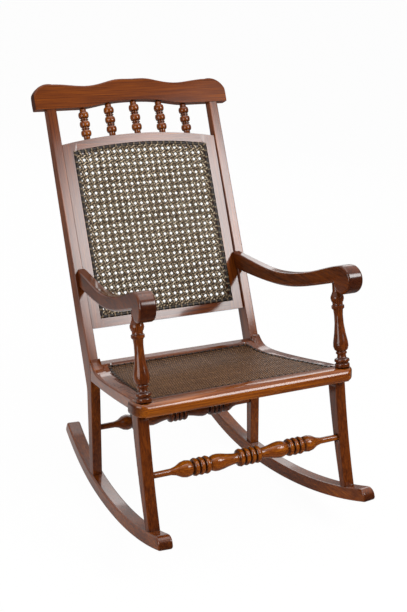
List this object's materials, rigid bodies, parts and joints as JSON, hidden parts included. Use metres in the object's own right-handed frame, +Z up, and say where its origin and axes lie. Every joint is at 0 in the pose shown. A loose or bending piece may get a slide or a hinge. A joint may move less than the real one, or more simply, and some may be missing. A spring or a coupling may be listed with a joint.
{
  "type": "rocking chair",
  "caption": "Wooden rocking chair with a dished caned seat, a caned back panel under turned spindles and a shaped crest, scrolled arms on turned posts, sabre legs and bent rockers.",
  "frame": {"origin": "on the floor below the middle of the chair's bounding box, in the pose in which the empty chair rests on its rockers", "axes": "+Z up; -Y the way the chair faces; +X to the right seen from the front"},
  "size_m": [0.604, 0.893, 0.9757],
  "materials": {
    "mahogany": "glossy red-brown lacquer",
    "cane": "woven rattan cane, stained dark brown",
    "cane_binding": "flat rattan binding, stained dark brown",
    "screw_steel": "plain steel",
    "beech_dowel": "plain beech",
    "glue_block": "plain wood, unlacquered"
  },
  "bodies": {
    "root": {"arm_left": "mahogany", "arm_post_left": "mahogany", "arm_post_right": "mahogany", "arm_right": "mahogany", "arm_screws": "screw_steel", "back_binding": "cane_binding", "back_bottom_rail": "mahogany", "back_cane": "cane", "back_post_left": "mahogany", "back_post_right": "mahogany", "back_spindle_1": "mahogany", "back_spindle_2": "mahogany", "back_spindle_3": "mahogany", "back_spindle_4": "mahogany", "back_spindle_5": "mahogany", "back_stile_left": "mahogany", "back_stile_right": "mahogany", "back_top_rail": "mahogany", "crest_rail": "mahogany", "dowels": "beech_dowel", "front_leg_left": "mahogany", "front_leg_right": "mahogany", "front_stretcher": "mahogany", "rear_stretcher": "mahogany", "rocker_left": "mahogany", "rocker_right": "mahogany", "screw_plugs": "mahogany", "seat_binding": "cane_binding", "seat_cane": "cane", "seat_corner_block_left": "glue_block", "seat_corner_block_right": "glue_block", "seat_front_rail": "mahogany", "seat_rear_rail": "mahogany", "seat_side_rail_left": "mahogany", "seat_side_rail_right": "mahogany"}
  },
  "joints": []
}
